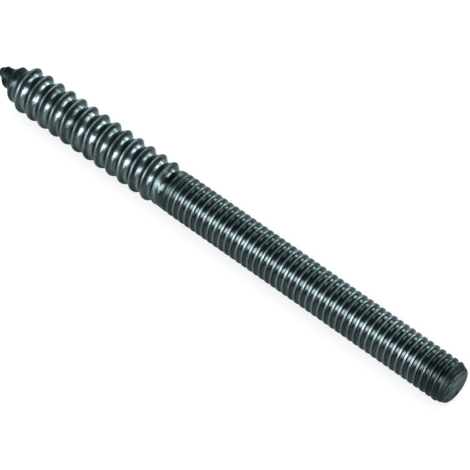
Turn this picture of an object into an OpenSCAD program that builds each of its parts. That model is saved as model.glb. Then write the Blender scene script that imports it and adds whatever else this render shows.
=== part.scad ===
// Hanger bolt: a headless steel stud with a coarse wood thread and a gimlet point at one end
// and a machine thread at the other. Both threads are rolled into one round blank.
// The stud lies along X with its flat end at +X, and touches the ground at Z = 0.

/* [Overall] */
// length from the tip of the point to the flat end
stud_length = 80; // [66:1:88]

/* [Machine thread] */
// length of the machine end, from the last wood crest to the flat end
machine_length = 49.1; // [40:0.1:56]
// diameter over the crests
machine_crest_d = 6; // [5.6:0.05:6.3]
// diameter at the bottom of the groove
machine_root_d = 4.75; // [4.5:0.05:5.2]
// advance of one turn
machine_pitch = 1; // [0.9:0.05:1.25]
// width of the land on a crest
machine_land = 0.24; // [0.12:0.02:0.3]
// diameter of the first crests, next to the wood thread
machine_rise_d = 5.76; // [5.5:0.02:5.9]
// length over which the crests rise to their full height
machine_rise_length = 2.6; // [1:0.1:4]

/* [Flat end] */
// diameter of the flat face
end_face_d = 4.9; // [4:0.1:5.4]
// length of the chamfer behind it
end_chamfer_length = 1.1; // [0.6:0.1:2]

/* [Wood thread] */
// diameter over the crests
wood_crest_d = 6.5; // [6.2:0.05:6.8]
// diameter at the bottom of the groove
wood_root_d = 5.3; // [5:0.05:5.6]
// advance of one turn
wood_pitch = 2.08; // [1.8:0.02:2.6]
// width of the land on a crest
wood_land = 0.24; // [0.16:0.02:0.4]
// width of the flat bottom of the groove
wood_root_width = 0.6; // [0.4:0.05:0.9]

/* [Point] */
// length from the tip to the first full crest
point_length = 5.2; // [3.5:0.1:8]
// length of the blunt nose in front of the thread
nose_length = 0.35; // [0.2:0.05:1]
// diameter of the nose over the first crest
nose_crest_d = 1.5; // [1.2:0.1:2]
// diameter of the nose at the bottom of the groove
nose_root_d = 1.1; // [0.6:0.1:1.1]

/* [Hidden] */
// flat steps in one turn of a groove
turn_steps = 24;
step_angle = 360 / turn_steps;
// steps by which each groove is turned about the axis
wood_turned_steps = 3;
machine_turned_steps = 0;
// turns in which a groove comes up out of the blank
wood_runout_turns = 0.4;
machine_runout_turns = 2.2;
// a groove of flat steps is on average as deep as a round one
step_growth = (1 + 1 / cos(step_angle / 2)) / 2;
wood_depth = (wood_crest_d - wood_root_d) / 2;
machine_depth = (machine_crest_d - machine_root_d) / 2;
// advance of a flank for each unit of its height
wood_flank = (wood_pitch - wood_land - wood_root_width) / 2 / wood_depth;
machine_flank = (machine_pitch - machine_land) / 2 / machine_depth;
// heights by which the cutters stand out of the blank, where half of the land is still between two turns
wood_overrun = wood_land / 4 / wood_flank;
machine_overrun = machine_land / 4 / machine_flank;
wood_length = stud_length - machine_length;
axis_height = max(wood_crest_d, machine_crest_d) / 2;
blank_facets = 96;
steel_colour = [0.42, 0.47, 0.49];
// outlines that the crests leave, as distances from the tip and radii
wood_outline = [
    [nose_length, nose_crest_d / 2],
    [point_length, wood_crest_d / 2]
];
blank_outline = [
    [0, 0],
    each wood_outline,
    [wood_length - wood_land, wood_crest_d / 2],
    [wood_length, machine_rise_d / 2],
    [wood_length + machine_rise_length, machine_crest_d / 2],
    [stud_length - end_chamfer_length, machine_crest_d / 2],
    [stud_length, end_face_d / 2]
];

function between(low, high, share) = low + (high - low) * min(1, max(0, share));

// radii of the wood groove's cutter at a distance from the tip: its top, and the bottom of the groove
function wood_top_radius(along) = max(lookup(along, wood_outline), lookup(along, blank_outline)) + wood_overrun;
function wood_root_radius(along) =
    between(nose_root_d, wood_root_d, (along - nose_length) / (point_length - nose_length)) / 2;

function step_point(along, radius, step) =
    let (angle = (step + 0.5) * step_angle)
    [along, radius * step_growth * cos(angle), radius * step_growth * sin(angle)];

// section of the wood groove in the axial plane, deep where depth_share is 1 and clear of the blank at 0
function wood_section(middle, depth_share) =
    let (foot_half = wood_root_width / 2)
    let (outer_half = (wood_pitch - wood_land / 2) / 2)
    let (bottom = function(along) between(wood_top_radius(along), wood_root_radius(along), depth_share))
    [
        [middle - outer_half, wood_top_radius(middle - outer_half)],
        [middle - foot_half, bottom(middle - foot_half)],
        [middle + foot_half, bottom(middle + foot_half)],
        [middle + outer_half, wood_top_radius(middle + outer_half)],
        [middle, wood_top_radius(middle) + outer_half]
    ];

// V section of the machine groove in the axial plane
function machine_section(middle, depth_share) =
    let (top = machine_crest_d / 2 + machine_overrun)
    let (bottom = between(top - machine_overrun / 2, machine_root_d / 2, depth_share))
    let (outer_half = (top - bottom) * machine_flank)
    [[middle - outer_half, top], [middle, bottom], [middle + outer_half, top]];

// closed helical cutter through a list of sections, one for each step about the axis
module helical_cutter(sections, turned_steps) {
    corners = len(sections[0]);
    last = len(sections) - 1;
    points = [for (i = [0:last]) for (p = sections[i]) step_point(p[0], p[1], turned_steps + i)];
    sides = [
        for (i = [0:last - 1]) for (j = [0:corners - 1])
            let (here = i * corners + j)
            let (beside = i * corners + (j + 1) % corners)
            each [[here, here + corners, beside], [beside, here + corners, beside + corners]]
    ];
    first_cap = [for (j = [1:corners - 2]) [0, j, j + 1]];
    last_cap = [for (j = [1:corners - 2]) [0, j + 1, j] + last * corners * [1, 1, 1]];
    polyhedron(points = points, faces = concat(sides, first_cap, last_cap), convexity = 10);
}

// groove that starts in front of the tip and comes up just past the last wood crest
module wood_groove() {
    first = -turn_steps;
    last = ceil((wood_length + wood_pitch / 2) / wood_pitch * turn_steps);
    helical_cutter([
        for (i = [first:last])
            wood_section(i / turn_steps * wood_pitch, (last - i) / turn_steps / wood_runout_turns)
    ], wood_turned_steps);
}

// groove that goes in beside the wood thread and runs out through the flat end
module machine_groove() {
    last = ceil((machine_length + machine_pitch) / machine_pitch * turn_steps);
    helical_cutter([
        for (i = [0:last])
            machine_section(
                wood_length + machine_pitch / 2 + i / turn_steps * machine_pitch,
                i / turn_steps / machine_runout_turns
            )
    ], machine_turned_steps);
}

// turned blank, along X from the tip
module blank() {
    rotate([0, 90, 0])
        rotate_extrude($fn = blank_facets)
            polygon([for (p = blank_outline) [p[1], p[0]], [0, stud_length]]);
}

module hanger_bolt() {
    color(steel_colour)
        translate([-stud_length / 2, 0, axis_height])
            difference() {
                blank();
                wood_groove();
                machine_groove();
            }
}

hanger_bolt();
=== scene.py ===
# Looks of a steel hanger bolt: two rolled threads, dark bright steel, a pale table and studio light
import math

import bmesh
import bpy
from mathutils import Matrix, Vector

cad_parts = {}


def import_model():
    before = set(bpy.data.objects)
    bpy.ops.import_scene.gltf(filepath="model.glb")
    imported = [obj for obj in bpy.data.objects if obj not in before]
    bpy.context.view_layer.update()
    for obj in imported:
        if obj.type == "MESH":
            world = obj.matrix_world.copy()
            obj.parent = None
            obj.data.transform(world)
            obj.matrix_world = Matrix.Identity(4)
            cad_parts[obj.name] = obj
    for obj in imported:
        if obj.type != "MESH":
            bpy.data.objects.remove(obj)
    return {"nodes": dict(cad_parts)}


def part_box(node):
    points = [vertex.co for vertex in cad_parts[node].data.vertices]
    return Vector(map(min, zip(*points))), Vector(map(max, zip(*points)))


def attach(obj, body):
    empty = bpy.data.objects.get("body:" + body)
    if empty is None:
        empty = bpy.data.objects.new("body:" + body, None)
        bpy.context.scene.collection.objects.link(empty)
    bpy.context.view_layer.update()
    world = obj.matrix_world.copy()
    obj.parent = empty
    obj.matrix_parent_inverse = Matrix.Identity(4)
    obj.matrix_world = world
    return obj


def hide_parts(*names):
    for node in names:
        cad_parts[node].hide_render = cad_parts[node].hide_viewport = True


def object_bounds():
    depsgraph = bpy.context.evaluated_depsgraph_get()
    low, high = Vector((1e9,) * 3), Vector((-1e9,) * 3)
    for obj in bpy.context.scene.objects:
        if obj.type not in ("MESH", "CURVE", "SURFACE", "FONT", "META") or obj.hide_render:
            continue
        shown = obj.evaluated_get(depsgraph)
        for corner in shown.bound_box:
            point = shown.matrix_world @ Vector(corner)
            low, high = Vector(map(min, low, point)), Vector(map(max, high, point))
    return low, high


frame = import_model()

cadLow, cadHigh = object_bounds()
mm = 0.001
fullTurn = 2 * math.pi
print("frame loaded:", sorted(frame["nodes"]))


# small helpers
def clamped(value):
    return min(1, max(0, value))


def roundedFloor(value, soft):  # max(0, value), with its corner rounded over soft on each side
    if value <= -soft:
        return 0
    if value >= soft:
        return value
    return (value + soft) ** 2 / (4 * soft)


def levelAt(outline, along):  # height of an outline of (along, radius) points
    for (a0, r0), (a1, r1) in zip(outline, outline[1:]):
        if along <= a1:
            return r0 + (r1 - r0) * clamped((along - a0) / (a1 - a0))
    return outline[-1][1]


def newMesh(name, bm):
    mesh = bpy.data.meshes.new(name)
    bm.to_mesh(mesh)
    bm.free()
    return mesh


def newObject(name, data):
    made = bpy.data.objects.new(name, data)
    bpy.context.scene.collection.objects.link(made)
    return made


# the stud, in mm: "along" is the distance from the tip, angles go from +Y to +Z
boltLow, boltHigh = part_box("hanger_bolt")
boltLength = (boltHigh.x - boltLow.x) / mm
axisHeight = (boltHigh.z + boltLow.z) / 2 / mm
woodCrest = (boltHigh.y - boltLow.y) / 2 / mm

stud = {
    "noseLength": 0.35,         # blunt nose in front of the wood thread
    "noseCrest": 0.75,
    "noseRoot": 0.55,
    "pointLength": 5.2,         # tip to the first full crest
    "machineLength": 49.1,      # last wood crest to the flat end
    "woodEnd": 0.7,             # taper that ends the last wood crest
    "machineCrest": 3.0,
    "riseCrest": 2.88,          # first machine crests, beside the wood thread
    "riseLength": 2.6,
    "chamferLength": 1.1,
    "faceRadius": 2.45,         # flat face inside the chamfer
    "rimRound": 0.4,            # rounding of the flat face's rim
    "rimSteps": 4,
    "faceRings": (0.86, 0.4),   # rings on the flat face, as shares of its rim
    "turnSteps": 60,            # steps in one turn of a thread
    "mergeShare": 0.001,        # doubles are this share of a pitch apart, or less
    "cutShare": 0.00001,        # and so are points on a square cut
    "noseCut": 0.02,            # the wood grid is cut here, and drawn together to the tip
    "bridgePlace": 0.3,         # band past the last wood crest that joins the two grids
    "bridgeGap": 0.06,
}
woodLength = boltLength - stud["machineLength"]

woodPitch = 2.08
machinePitch = 1.0
sourceSteps = 24                # the part's own grooves have these steps in a turn, and start between two

woodThread = {
    "pitch": woodPitch,
    "root": 2.65,
    "start": -woodPitch * 3.5 / sourceSteps,    # place of a groove's middle at angle 0
    "mouthHalf": 0.94,                          # half of the groove's mouth
    "curve": 1.75,                              # 1 is a V, 2 a round trough
    "softMouth": 0.13,                          # rounding of its lips, as a share of its depth
    "lastTurn": 32.5,                           # the groove is out of the steel here
    "runout": 0.4 * woodPitch,                  # length in which it comes up
    "lines": (0.1, 0.22, 0.36, 0.5, 0.64, 0.77, 0.87, 0.94, 0.99),  # grid lines beside its middle
}
machineThread = {
    "pitch": machinePitch,
    "root": 2.75,
    "start": woodLength + machinePitch / 2 - machinePitch * 0.5 / sourceSteps,
    "mouthHalf": 0.345,
    "curve": 5.5,
    "softMouth": 0.45,
    "firstTurn": 31.3,                          # the groove goes into the steel here
    "runin": 2.6,                               # length in which it goes down
    "lines": (0.09, 0.15, 0.2, 0.245, 0.285, 0.315, 0.345, 0.375, 0.42),
}

woodOutline = [(stud["noseLength"], stud["noseCrest"]), (stud["pointLength"], woodCrest)]
woodRoots = [(stud["noseLength"], stud["noseRoot"]), (stud["pointLength"], woodThread["root"])]
blankOutline = [
    (0, 0), *woodOutline,
    (woodLength - stud["woodEnd"], woodCrest),
    (woodLength, stud["riseCrest"]),
    (woodLength + stud["riseLength"], stud["machineCrest"]),
    (boltLength - stud["chamferLength"], stud["machineCrest"]),
    (boltLength, stud["faceRadius"]),
]


def grooveAt(thread, along, angle):  # nearest groove's middle, and the share of its full depth here
    start = thread["start"] + thread["pitch"] * angle / fullTurn
    middle = start + thread["pitch"] * round((along - start) / thread["pitch"])
    away = abs(along - middle) / thread["mouthHalf"]
    return middle, roundedFloor(1 - away ** thread["curve"], thread["softMouth"])


def surfaceAt(along, angle):  # radius of the rolled surface, and how deep it is in a groove
    blank = levelAt(blankOutline, along)
    middle, woodShare = grooveAt(woodThread, along, angle)
    woodShare *= clamped((woodThread["lastTurn"] - middle) / woodThread["runout"])
    top = max(levelAt(woodOutline, along), blank)
    wood = top - woodShare * (top - levelAt(woodRoots, along))
    middle, machineShare = grooveAt(machineThread, along, angle)
    machineShare *= clamped((middle - machineThread["firstTurn"]) / machineThread["runin"])
    if machineShare == 0:
        return min(blank, wood), woodShare
    machine = stud["machineCrest"] - machineShare * (stud["machineCrest"] - machineThread["root"])
    return min(blank, wood, machine), max(woodShare, machineShare)


def threadGrid(thread, first, last):  # smooth tube whose lines follow a thread, cut square at both ends
    bm = bmesh.new()
    pitch, steps = thread["pitch"], stud["turnSteps"]
    half = pitch / 2
    offsets = [-half, *(-o for o in reversed(thread["lines"])), 0, *thread["lines"], half]
    # spare turns at both ends, for the square cuts
    startTurn = math.floor((first - thread["start"]) / pitch) - 2
    turns = math.ceil((last - thread["start"]) / pitch) + 1 - startTurn
    begin = thread["start"] + startTurn * pitch
    line = [bm.verts.new((begin + o, woodCrest, 0)) for o in offsets]
    edges = [bm.edges.new(pair) for pair in zip(line, line[1:])]
    bmesh.ops.spin(bm, geom=line + edges, cent=(0, 0, 0), axis=(1, 0, 0), dvec=(pitch / steps, 0, 0),
                   angle=fullTurn, steps=steps, use_merge=False)
    oneTurn = bm.verts[:] + bm.edges[:] + bm.faces[:]
    for number in range(1, turns):
        copied = bmesh.ops.duplicate(bm, geom=oneTurn)["geom"]
        bmesh.ops.translate(bm, vec=(pitch * number, 0, 0),
                            verts=[g for g in copied if isinstance(g, bmesh.types.BMVert)])
    bmesh.ops.remove_doubles(bm, verts=bm.verts, dist=pitch * stud["mergeShare"])
    for place, side in ((first, -1), (last, 1)):
        bmesh.ops.bisect_plane(bm, geom=bm.verts[:] + bm.edges[:] + bm.faces[:],
                               dist=pitch * stud["cutShare"], plane_co=(place, 0, 0),
                               plane_no=(side, 0, 0), clear_outer=True)
    return newMesh("threadGrid", bm)


def openEdges(bm, low, high):  # edges of an open rim between two places along the stud
    return [e for e in bm.edges if e.is_boundary and all(low <= v.co.x <= high for v in e.verts)]


def roundRim(bm, rimPlace, depth):  # round the rim over onto the flat face, and close the face
    rimRound = stud["rimRound"]
    rim = openEdges(bm, rimPlace - rimRound / 2, boltLength)
    rimRadius = levelAt(blankOutline, rimPlace)
    rings = []
    for step in range(1, stud["rimSteps"] + 1):
        bend = step / stud["rimSteps"] * math.pi / 2
        rings.append((rimRound * math.sin(bend), rimRadius - rimRound * (1 - math.cos(bend))))
    rings += [(rimRound, rimRadius * share) for share in stud["faceRings"]]
    radius, place = rimRadius, 0
    for ahead, newRadius in rings:
        grown = bmesh.ops.extrude_edge_only(bm, edges=rim)["geom"]
        rim = [g for g in grown if isinstance(g, bmesh.types.BMEdge)]
        ring = [g for g in grown if isinstance(g, bmesh.types.BMVert)]
        bmesh.ops.scale(bm, vec=(1, newRadius / radius, newRadius / radius), verts=ring)
        bmesh.ops.translate(bm, vec=(ahead - place, 0, 0), verts=ring)
        radius, place = newRadius, ahead
        for v in ring:
            v[depth] = 0
    bmesh.ops.pointmerge(bm, verts=ring, merge_co=(boltLength, 0, 0))


def makeStud():
    bridgePlace = woodLength + stud["bridgePlace"]
    gap = stud["bridgeGap"]
    rimPlace = boltLength - stud["rimRound"]
    bm = bmesh.new()
    for mesh in (threadGrid(woodThread, stud["noseCut"], bridgePlace - gap / 2),
                 threadGrid(machineThread, bridgePlace + gap / 2, rimPlace)):
        bm.from_mesh(mesh)
        bpy.data.meshes.remove(mesh)
    print("thread grids spun:", len(bm.faces), "faces")

    # roll both threads into the tube
    depth = bm.verts.layers.float.new("grooveDepth")
    for v in bm.verts:
        angle = math.atan2(v.co.z, v.co.y)
        radius, v[depth] = surfaceAt(v.co.x, angle)
        v.co.y, v.co.z = radius * math.cos(angle), radius * math.sin(angle)

    # join the two grids, and close both ends
    bmesh.ops.bridge_loops(bm, edges=openEdges(bm, bridgePlace - gap, bridgePlace + gap))
    tip = {v for e in openEdges(bm, 0, 2 * stud["noseCut"]) for v in e.verts}
    bmesh.ops.pointmerge(bm, verts=list(tip), merge_co=(0, 0, 0))
    roundRim(bm, rimPlace, depth)

    bmesh.ops.recalc_face_normals(bm, faces=bm.faces)
    if bm.calc_volume(signed=True) < 0:  # they agree, but all point inwards
        bmesh.ops.reverse_faces(bm, faces=bm.faces)
    for face in bm.faces:
        face.smooth = True
    bmesh.ops.translate(bm, vec=(-boltLength / 2, 0, axisHeight), verts=bm.verts)
    bmesh.ops.scale(bm, vec=(mm, mm, mm), verts=bm.verts)
    return newObject("rolled_stud", newMesh("rolled_stud", bm))


# the steel: dark in the grooves as painted shade, paler on the crests, dull at the point, and dull and
# darkened at the flat end as painted shade
# places along the stud are in mm, and depths are shares of a groove's full depth
steel = {
    "woodColours": {                    # by depth in a groove: crest, flank darkened as painted shade, bottom brighter as painted sheen
        0.0: (0.108, 0.142, 0.148, 1),
        0.12: (0.1, 0.132, 0.138, 1),
        0.3: (0.052, 0.069, 0.073, 1),
        0.6: (0.06, 0.079, 0.083, 1),
        0.85: (0.11, 0.144, 0.149, 1),
        1.0: (0.16, 0.21, 0.217, 1),
    },
    "machineColours": {                 # paler crest, groove darkened as painted shade
        0.0: (0.106, 0.139, 0.144, 1),
        0.18: (0.092, 0.122, 0.127, 1),
        0.55: (0.037, 0.05, 0.053, 1),
        1.0: (0.037, 0.05, 0.053, 1),
    },
    "jointFade": 0.5,                   # length in which the wood thread's looks end
    "edge": (0.6, 0.7, 0.72, 1),        # what is left of the mirror at a grazing view
    # near-black colour of the dull stretches, also used as painted shade near the flat end
    "dullAndShade": (0.012, 0.0175, 0.019, 1),
    "shade": (0, 0, 0, 1),              # colour that patches and streaks darken to
    "grooveDepths": (0.03, 0.4),        # depths between which a crest's roughness becomes a groove's
    "grooveRough": 0.2,
    "woodGrooveRough": 0.26,
    "crestRough": 0.34,
    "woodCrestRough": 0.42,
    "dullRough": 0.42,

    # dull stretches: where they fade, how dark their colour gets, and how much rougher they are; near the
    # flat end the darker colour is painted shade
    "pointFade": (3.4, 5.0),            # from the tip
    "pointDull": 0.92,
    "runinStart": (0.9, 1.3),           # from the last wood crest
    "runinEnd": (1.7, 4.4),
    "runinDull": 0.45,
    "runinRough": 0.6,
    "endFade": (7.0, 2.0),              # from the flat face
    # share of painted shade near the flat end, which dims its highlights
    "endPaintedShade": 0.8,
    "endRough": 0.3,
    "rimFade": (1.5, 0.6),
    "rimDull": 0.92,

    "faceColours": {                    # the sheared flat face, with its streaks
        0.3: (0.034, 0.048, 0.051, 1),
        0.5: (0.075, 0.1, 0.105, 1),
        0.7: (0.17, 0.21, 0.216, 1),
    },
    "faceFade": (0.12, 0.01),           # from the flat face
    "faceStreakSize": (1, 260, 900),    # along the streaks they change slowly
    "faceTurn": -14,                    # degrees that the streaks are turned from level

    "streakSize": (2500, 260, 260),     # fine lines round the stud, from the rolling dies
    "streakDetail": 3,
    "streakLevels": (0.42, 0.62),
    "streakShade": 0.2,
    "woodStreakShade": 0.5,
    "streakRough": 0.06,
    "patchSize": (420, 420, 420),
    "patchDetail": 4,
    "patchLevels": (0.35, 0.65),
    "patchShade": 0.25,
    "patchHeight": 5,                   # height of the patches, as a number of streak heights
    "bumpStrength": 0.3,
    "woodBumpStrength": 0.6,
    "bumpDistance": 0.05,
}


def addNode(tree, kind, x, y, **settings):
    node = tree.nodes.new(kind)
    node.location = (x, y)
    for name, value in settings.items():
        setattr(node, name, value)
    return node


def feed(tree, socket, value):  # value is another node's socket, or a constant
    if isinstance(value, bpy.types.NodeSocket):
        tree.links.new(value, socket)
    else:
        socket.default_value = value


def mixColour(tree, share, first, second, x, y):
    node = addNode(tree, "ShaderNodeMix", x, y, data_type="RGBA")
    for number, value in ((0, share), (6, first), (7, second)):  # a Mix node's colours are at 6 and 7
        feed(tree, node.inputs[number], value)
    return node.outputs[2]


def mixValue(tree, share, first, second, x, y):
    node = addNode(tree, "ShaderNodeMix", x, y, data_type="FLOAT")
    for number, value in ((0, share), (2, first), (3, second)):
        feed(tree, node.inputs[number], value)
    return node.outputs[0]


def mathNode(tree, operation, first, second, x, y):
    node = addNode(tree, "ShaderNodeMath", x, y, operation=operation)
    feed(tree, node.inputs[0], first)
    feed(tree, node.inputs[1], second)
    return node.outputs[0]


def largest(tree, values, x, y):
    result = values[0]
    for number, value in enumerate(values[1:]):
        result = mathNode(tree, "MAXIMUM", result, value, x + 150 * number, y)
    return result


def ramp(tree, value, ends, x, y, low=0, high=1):  # low before the first end, high after the second
    node = addNode(tree, "ShaderNodeMapRange", x, y, interpolation_type="SMOOTHSTEP")
    node.inputs["From Min"].default_value = ends[0]
    node.inputs["From Max"].default_value = ends[1]
    feed(tree, node.inputs["To Min"], low)
    feed(tree, node.inputs["To Max"], high)
    feed(tree, node.inputs["Value"], value)
    return node.outputs["Result"]


def noise(tree, coordinates, size, detail, x, y):
    mapping = addNode(tree, "ShaderNodeMapping", x - 200, y)
    mapping.inputs["Scale"].default_value = size
    tree.links.new(coordinates, mapping.inputs["Vector"])
    node = addNode(tree, "ShaderNodeTexNoise", x, y)
    node.inputs["Scale"].default_value = 1
    node.inputs["Detail"].default_value = detail
    tree.links.new(mapping.outputs["Vector"], node.inputs["Vector"])
    return node.outputs["Fac"]


def colourBands(tree, value, colours, x, y):  # colours by the value where each one is
    node = addNode(tree, "ShaderNodeValToRGB", x, y)
    tree.links.new(value, node.inputs["Fac"])
    while len(node.color_ramp.elements) < len(colours):
        node.color_ramp.elements.new(0.5)
    for element, place in zip(node.color_ramp.elements, sorted(colours)):
        element.position, element.color = place, colours[place]
    return node.outputs["Color"]


def makeSteel():
    material = bpy.data.materials.new("rolledSteel")
    material.use_nodes = True
    tree = material.node_tree
    shader = tree.nodes["Principled BSDF"]
    shader.inputs["Metallic"].default_value = 1
    shader.inputs["Specular Tint"].default_value = steel["edge"]
    objectPlace = addNode(tree, "ShaderNodeTexCoord", -2100, 0).outputs["Object"]
    split = addNode(tree, "ShaderNodeSeparateXYZ", -1900, -300)
    tree.links.new(objectPlace, split.inputs[0])
    depth = addNode(tree, "ShaderNodeAttribute", -1900, 300, attribute_name="grooveDepth").outputs["Fac"]
    streaks = noise(tree, objectPlace, steel["streakSize"], steel["streakDetail"], -1600, 100)
    patches = noise(tree, objectPlace, steel["patchSize"], steel["patchDetail"], -1600, -100)

    # masks along the stud, each from its place and the distances of its two ends
    tipPlace = -boltLength / 2
    facePlace = boltLength / 2
    jointPlace = facePlace - stud["machineLength"]

    def past(place, ends, x, y, low=0, high=1):
        return ramp(tree, split.outputs["X"], [(place + end) * mm for end in ends], x, y, low, high)

    def before(name):
        return [-distance for distance in steel[name]]

    nearPoint = past(tipPlace, steel["pointFade"], -1600, -300, 1, 0)
    nearFlat = past(facePlace, before("endFade"), -1600, -600)
    onRim = past(facePlace, before("rimFade"), -1600, -900)
    onFace = past(facePlace, before("faceFade"), -1600, -1200)
    onWood = past(jointPlace, (0, steel["jointFade"]), -1600, -1500, 1, 0)
    runin = mathNode(tree, "MULTIPLY", past(jointPlace, steel["runinStart"], -1600, -1800),
                     past(jointPlace, steel["runinEnd"], -1600, -2100, 1, 0), -1400, -1800)
    dullAndShade = largest(tree, [
        mathNode(tree, "MULTIPLY", nearPoint, steel["pointDull"], -1200, -400),
        # painted shade near the flat end
        mathNode(tree, "MULTIPLY", nearFlat, steel["endPaintedShade"], -1200, -600),
        mathNode(tree, "MULTIPLY", onRim, steel["rimDull"], -1200, -800),
        mathNode(tree, "MULTIPLY", runin, steel["runinDull"], -1200, -1000),
    ], -1000, -400)

    # colour: by depth with painted shade in the grooves, then dulled, and near the flat end darkened as
    # painted shade, then the flat face, then patches and streaks
    colour = mixColour(tree, onWood, colourBands(tree, depth, steel["machineColours"], -1300, 300),
                       colourBands(tree, depth, steel["woodColours"], -1300, 500), -1000, 500)
    colour = mixColour(tree, dullAndShade, colour, steel["dullAndShade"], -800, 500)
    turned = addNode(tree, "ShaderNodeVectorRotate", -1900, 800, rotation_type="X_AXIS")
    turned.inputs["Angle"].default_value = -math.radians(steel["faceTurn"])
    tree.links.new(objectPlace, turned.inputs["Vector"])
    faceStreaks = noise(tree, turned.outputs["Vector"], steel["faceStreakSize"], steel["streakDetail"],
                        -1600, 800)
    faceColour = colourBands(tree, faceStreaks, steel["faceColours"], -1300, 800)
    colour = mixColour(tree, onFace, colour, faceColour, -600, 500)
    patched = ramp(tree, patches, steel["patchLevels"], -800, 200, high=steel["patchShade"])
    colour = mixColour(tree, patched, colour, steel["shade"], -400, 500)
    streakShade = mixValue(tree, onWood, steel["streakShade"], steel["woodStreakShade"], -800, 0)
    streaked = ramp(tree, streaks, steel["streakLevels"], -600, 200, high=streakShade)
    colour = mixColour(tree, streaked, colour, steel["shade"], -200, 500)
    tree.links.new(colour, shader.inputs["Base Color"])

    # roughness: crests and grooves, then the dull stretches, then the streaks
    inGroove = ramp(tree, depth, steel["grooveDepths"], -1300, 0)
    crestRough = mixValue(tree, onWood, steel["crestRough"], steel["woodCrestRough"], -1000, 0)
    grooveRough = mixValue(tree, onWood, steel["grooveRough"], steel["woodGrooveRough"], -1000, -200)
    rough = mixValue(tree, inGroove, crestRough, grooveRough, -600, -100)
    dulled = largest(tree, [
        nearPoint, onRim,
        mathNode(tree, "MULTIPLY", nearFlat, steel["endRough"], -1200, -1200),
        mathNode(tree, "MULTIPLY", runin, steel["runinRough"], -1200, -1400),
    ], -1000, -800)
    rough = mixValue(tree, dulled, rough, steel["dullRough"], -400, -100)
    streakRough = mathNode(tree, "MULTIPLY", streaks, steel["streakRough"], -400, -300)
    tree.links.new(mathNode(tree, "ADD", rough, streakRough, -200, -100), shader.inputs["Roughness"])

    # unevenness, stronger on the wood thread
    bump = addNode(tree, "ShaderNodeBump", -200, -500)
    bump.inputs["Distance"].default_value = steel["bumpDistance"] * mm
    strength = mixValue(tree, onWood, steel["bumpStrength"], steel["woodBumpStrength"], -400, -500)
    tree.links.new(strength, bump.inputs["Strength"])
    unevenness = mathNode(tree, "MULTIPLY", patches, steel["patchHeight"], -600, -700)
    tree.links.new(mathNode(tree, "ADD", streaks, unevenness, -400, -700), bump.inputs["Height"])
    tree.links.new(bump.outputs["Normal"], shader.inputs["Normal"])
    return material


rolledStud = makeStud()
rolledStud.data.materials.append(makeSteel())
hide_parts("hanger_bolt")
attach(rolledStud, "root")
print("stud rolled:", len(rolledStud.data.polygons), "faces")

# table, lamps and surroundings
studio = {
    "tableHalf": 3.0,
    "tableColour": (0.9, 0.9, 0.9, 1),
    "tableGlow": 0.92,          # share of plain white that the camera and the reflections get
    "shadeReach": 0.0055,       # how far the stud shades the table round it
    "shadeSamples": 8,
    "openSky": 0.95,            # share of open sky from which on there is no shade
    "mirroredShade": 0.1,       # how dark the shade gets in the steel
    "seenShade": 0.75,          # and to the camera
    "worldColour": (0.115, 0.18, 0.19, 1),
    "worldStrength": 1.0,
    "lamps": {                  # direction from the stud, distance, width along the stud, height, brightness
        "keyStrip": ((-0.12, -0.74, 0.68), 0.5, 0.75, 0.19, 16),
        "leftLow": ((-0.9, -0.38, 0.2), 0.5, 0.2, 0.22, 4),
        "frontRight": ((0.34, -0.76, 0.5), 0.5, 0.16, 0.4, 9),
        "backLow": ((-0.08, 0.93, 0.34), 0.5, 0.39, 0.13, 13),
        "backHigh": ((0.16, 0.5, 0.85), 0.5, 0.24, 0.24, 11),
    },
}


def makeTable():
    bm = bmesh.new()
    bmesh.ops.create_grid(bm, x_segments=1, y_segments=1, size=studio["tableHalf"])
    bmesh.ops.translate(bm, vec=(0, 0, cadLow.z), verts=bm.verts)
    table = newObject("table", newMesh("table", bm))
    material = bpy.data.materials.new("paleTable")
    material.use_nodes = True
    tree = material.node_tree
    tree.nodes.remove(tree.nodes["Principled BSDF"])
    diffuse = addNode(tree, "ShaderNodeBsdfDiffuse", -200, 0)
    diffuse.inputs["Color"].default_value = studio["tableColour"]
    path = addNode(tree, "ShaderNodeLightPath", -1000, 200)

    # plain white to the camera and in reflections, shaded close to the stud
    white = addNode(tree, "ShaderNodeEmission", -200, -200)
    nearby = addNode(tree, "ShaderNodeAmbientOcclusion", -600, -200, samples=studio["shadeSamples"])
    nearby.inputs["Distance"].default_value = studio["shadeReach"]
    darkest = mixValue(tree, path.outputs["Is Camera Ray"], studio["mirroredShade"], studio["seenShade"],
                       -600, -400)
    shaded = ramp(tree, nearby.outputs["AO"], (0, studio["openSky"]), -400, -200, low=darkest)
    tree.links.new(shaded, white.inputs["Strength"])
    seen = largest(tree, [path.outputs[name] for name in
                          ("Is Camera Ray", "Is Glossy Ray", "Is Transmission Ray")], -800, 200)
    share = mathNode(tree, "MULTIPLY", seen, studio["tableGlow"], -400, 200)
    mix = addNode(tree, "ShaderNodeMixShader", 0, 0)
    tree.links.new(share, mix.inputs["Fac"])
    tree.links.new(diffuse.outputs[0], mix.inputs[1])
    tree.links.new(white.outputs[0], mix.inputs[2])
    tree.links.new(mix.outputs[0], tree.nodes["Material Output"].inputs["Surface"])
    table.data.materials.append(material)


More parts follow.
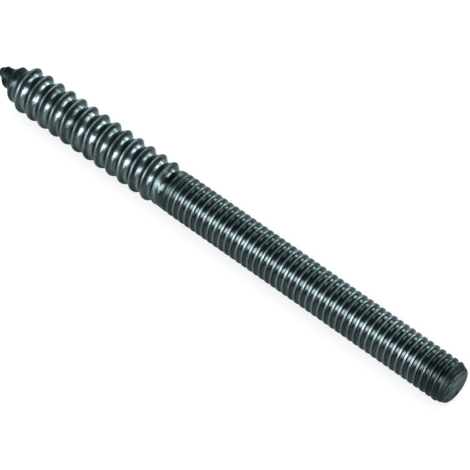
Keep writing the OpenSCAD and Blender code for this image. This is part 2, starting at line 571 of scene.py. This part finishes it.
def makeLamps():
    middle = (cadLow + cadHigh) / 2
    for name, (direction, distance, width, height, brightness) in studio["lamps"].items():
        data = bpy.data.lights.new(name, "AREA")
        data.shape = "RECTANGLE"
        data.size, data.size_y = width, height
        data.energy = brightness * math.pi * width * height
        back = Vector(direction).normalized()
        side = (Vector((1, 0, 0)) - back * back.x).normalized()
        turned = Matrix((side, back.cross(side), back)).transposed().to_4x4()
        newObject(name, data).matrix_world = Matrix.Translation(middle + back * distance) @ turned


def makeWorld():
    world = bpy.data.worlds.new("dimRoom")
    world.use_nodes = True
    background = world.node_tree.nodes["Background"]
    background.inputs["Color"].default_value = studio["worldColour"]
    background.inputs["Strength"].default_value = studio["worldStrength"]
    bpy.context.scene.world = world


makeTable()
makeLamps()
makeWorld()
print("table and lamps placed")

# camera, from the photo: the stud's middle is seen at a known pixel
photoView = {
    "turn": 41.25,              # degrees from straight in front, towards the flat end
    "rise": 52.48,
    "distance": 0.4146,
    "imageSide": 470,
    "focalPixels": 3147,
    "middlePixel": (219.2, 222.0),
    "sensorWidth": 36,
    "clip": (0.01, 20),
}


def makeCamera():
    turn, rise = math.radians(photoView["turn"]), math.radians(photoView["rise"])
    back = Vector((math.sin(turn) * math.cos(rise), -math.cos(turn) * math.cos(rise), math.sin(rise)))
    right = Vector((math.cos(turn), math.sin(turn), 0))
    up = back.cross(right)
    perPixel = photoView["distance"] / photoView["focalPixels"]
    half = photoView["imageSide"] / 2
    aside = (half - photoView["middlePixel"][0]) * perPixel
    below = (half - photoView["middlePixel"][1]) * perPixel
    middle = (boltLow + boltHigh) / 2
    place = middle + right * aside - up * below + back * photoView["distance"]
    data = bpy.data.cameras.new("photoCamera")
    data.sensor_width = photoView["sensorWidth"]
    data.lens = data.sensor_width * photoView["focalPixels"] / photoView["imageSide"]
    data.clip_start, data.clip_end = photoView["clip"]
    camera = newObject("photoCamera", data)
    turned = Matrix((right, up, back)).transposed().to_4x4()
    camera.matrix_world = Matrix.Translation(place) @ turned
    bpy.context.scene.camera = camera


makeCamera()
bpy.context.scene.view_settings.view_transform = "Standard"
print("camera placed")
